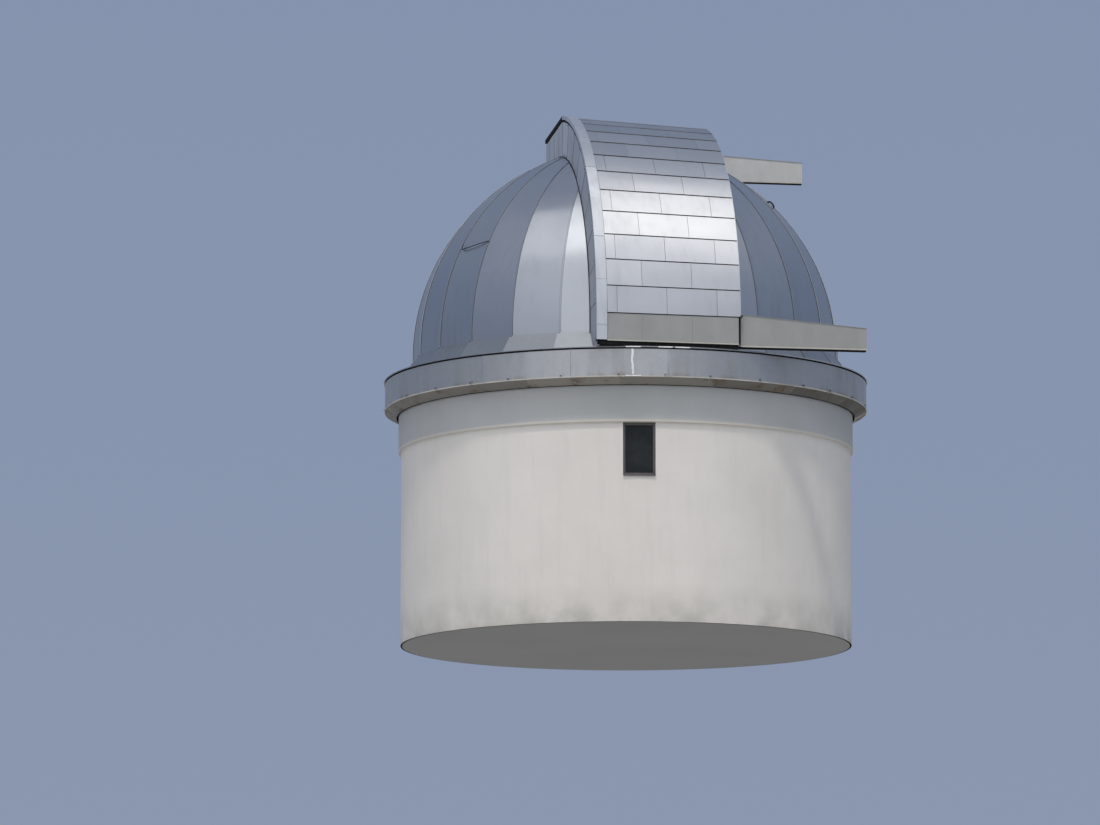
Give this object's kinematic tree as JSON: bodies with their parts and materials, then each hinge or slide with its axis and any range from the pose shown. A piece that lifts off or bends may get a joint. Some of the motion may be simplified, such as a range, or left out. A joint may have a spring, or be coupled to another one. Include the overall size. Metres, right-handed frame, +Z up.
{
  "type": "observatory dome",
  "caption": "Round plastered drum under a turning metal dome of flat gores, with an arched shutter that slides sideways on two rails.",
  "frame": {"origin": "middle of the floor slab's underside, on the dome's vertical turning axis", "axes": "+Z up, -Y towards the front that the shutter faces at rest, +X the way the shutter slides open"},
  "size_m": [5.666, 5.6892, 6.2104],
  "materials": {
    "plaster": "rough white lime plaster, grey in shade",
    "concrete": "floated concrete",
    "window_metal": "weathered grey paint",
    "window_glass": "dark glass",
    "dark_steel": "greasy dark steel",
    "sheet_metal": "weathered bright sheet",
    "galvanised": "dull zinc-coated sheet with rust at its foot",
    "rail_paint": "faded beige-grey paint"
  },
  "bodies": {
    "building": {"wall_section_1": "plaster", "wall_section_2": "plaster", "wall_section_3": "plaster", "wall_section_4": "plaster", "wall_section_5": "plaster", "wall_section_6": "plaster", "floor_slab": "concrete", "window_frame": "window_metal", "window_pane": "window_glass", "support_roller_1": "dark_steel", "support_roller_2": "dark_steel", "support_roller_3": "dark_steel", "support_roller_4": "dark_steel", "support_roller_5": "dark_steel", "support_roller_6": "dark_steel"},
    "dome": {"gores_left_front": "sheet_metal", "gores_left_middle": "sheet_metal", "gores_left_rear": "sheet_metal", "gores_rear": "sheet_metal", "gores_right_rear": "sheet_metal", "gores_right_middle": "sheet_metal", "gores_right_front": "sheet_metal", "slit_sill": "sheet_metal", "skirt_ring_1": "galvanised", "skirt_ring_2": "galvanised", "skirt_ring_3": "galvanised", "skirt_ring_4": "galvanised", "skirt_ring_5": "galvanised", "skirt_ring_6": "galvanised", "track_rail_1": "dark_steel", "track_rail_2": "dark_steel", "track_rail_3": "dark_steel", "track_rail_4": "dark_steel", "upstand_left": "sheet_metal", "upstand_right": "sheet_metal", "lower_rail": "rail_paint", "upper_rail": "rail_paint"},
    "shutter": {"shutter_panel_1": "sheet_metal", "shutter_panel_2": "sheet_metal", "shutter_panel_3": "sheet_metal", "shutter_panel_4": "sheet_metal", "shutter_apron": "sheet_metal", "shutter_top": "sheet_metal", "shutter_end_plate": "sheet_metal", "shutter_rim": "sheet_metal"}
  },
  "joints": [
    {"name": "dome_rotation", "type": "hinge", "parent": "building", "child": "dome", "pos_m": [0, 0, 2.9], "axis": [0, 0, 1], "continuous": true},
    {"name": "shutter_slide", "type": "slide", "parent": "dome", "child": "shutter", "axis": [1, 0, 0], "range_m": [0, 1.45]}
  ]
}
